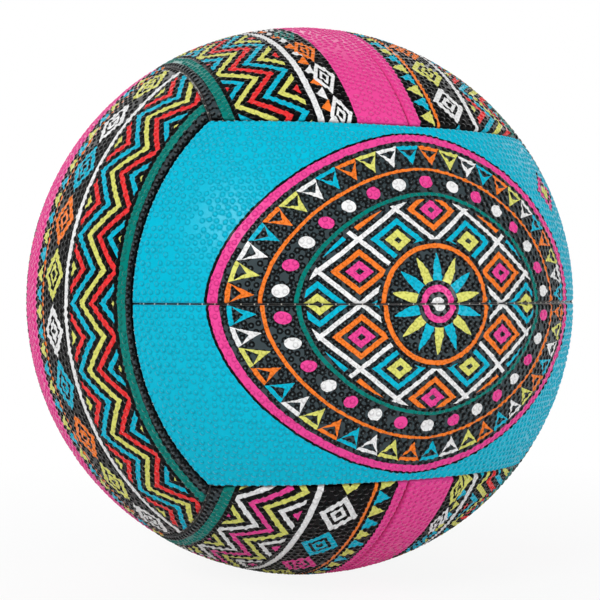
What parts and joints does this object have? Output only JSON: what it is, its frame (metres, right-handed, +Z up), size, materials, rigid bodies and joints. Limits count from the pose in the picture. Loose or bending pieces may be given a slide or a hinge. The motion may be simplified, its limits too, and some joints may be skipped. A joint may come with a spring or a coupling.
{
  "type": "netball",
  "caption": "Stitched ball with pimpled rubber panels over cloth linings, a bladder and a needle valve, for netball and other hand ball games.",
  "frame": {"origin": "centre of the ball", "axes": "+Z up, front face of the ball looks along -Y with its centre seam level along X; the needle valve is on the back, 17 degrees above +Y"},
  "size_m": [0.2228, 0.2228, 0.2228],
  "materials": {
    "turquoise_rubber": "satin grippy rubber, pimpled, printed",
    "black_rubber": "satin grippy rubber, pimpled, printed",
    "lining_cloth": "woven polyester and cotton plies, glued",
    "stitch_thread": "waxed polyester thread",
    "bladder_rubber": "smooth butyl rubber",
    "valve_rubber": "moulded rubber, satin",
    "patch_cloth": "woven cloth patch, glued"
  },
  "bodies": {
    "ball": {"front_upper_panel": "turquoise_rubber", "front_lower_panel": "turquoise_rubber", "back_upper_panel": "turquoise_rubber", "back_lower_panel": "turquoise_rubber", "left_front_panel": "black_rubber", "left_rear_panel": "black_rubber", "right_front_panel": "black_rubber", "right_rear_panel": "black_rubber", "top_left_panel": "black_rubber", "top_right_panel": "black_rubber", "bottom_left_panel": "black_rubber", "bottom_right_panel": "black_rubber", "front_upper_lining": "lining_cloth", "front_lower_lining": "lining_cloth", "back_upper_lining": "lining_cloth", "back_lower_lining": "lining_cloth", "left_front_lining": "lining_cloth", "left_rear_lining": "lining_cloth", "right_front_lining": "lining_cloth", "right_rear_lining": "lining_cloth", "top_left_lining": "lining_cloth", "top_right_lining": "lining_cloth", "bottom_left_lining": "lining_cloth", "bottom_right_lining": "lining_cloth", "front_centre_stitching": "stitch_thread", "back_centre_stitching": "stitch_thread", "left_centre_stitching": "stitch_thread", "right_centre_stitching": "stitch_thread", "top_centre_stitching": "stitch_thread", "bottom_centre_stitching": "stitch_thread", "front_top_edge_stitching": "stitch_thread", "front_bottom_edge_stitching": "stitch_thread", "back_bottom_edge_stitching": "stitch_thread", "back_top_edge_stitching": "stitch_thread", "bottom_right_edge_stitching": "stitch_thread", "bottom_left_edge_stitching": "stitch_thread", "top_left_edge_stitching": "stitch_thread", "top_right_edge_stitching": "stitch_thread", "left_back_edge_stitching": "stitch_thread", "left_front_edge_stitching": "stitch_thread", "right_front_edge_stitching": "stitch_thread", "right_back_edge_stitching": "stitch_thread", "bladder": "bladder_rubber", "valve_sleeve": "valve_rubber", "valve_patch": "patch_cloth"},
    "valve_core": {"valve_core": "valve_rubber"}
  },
  "joints": [
    {"name": "valve_core_pull", "type": "slide", "parent": "ball", "child": "valve_core", "axis": [0, 0.9563, 0.2924], "range_m": [0, 0.025]}
  ]
}
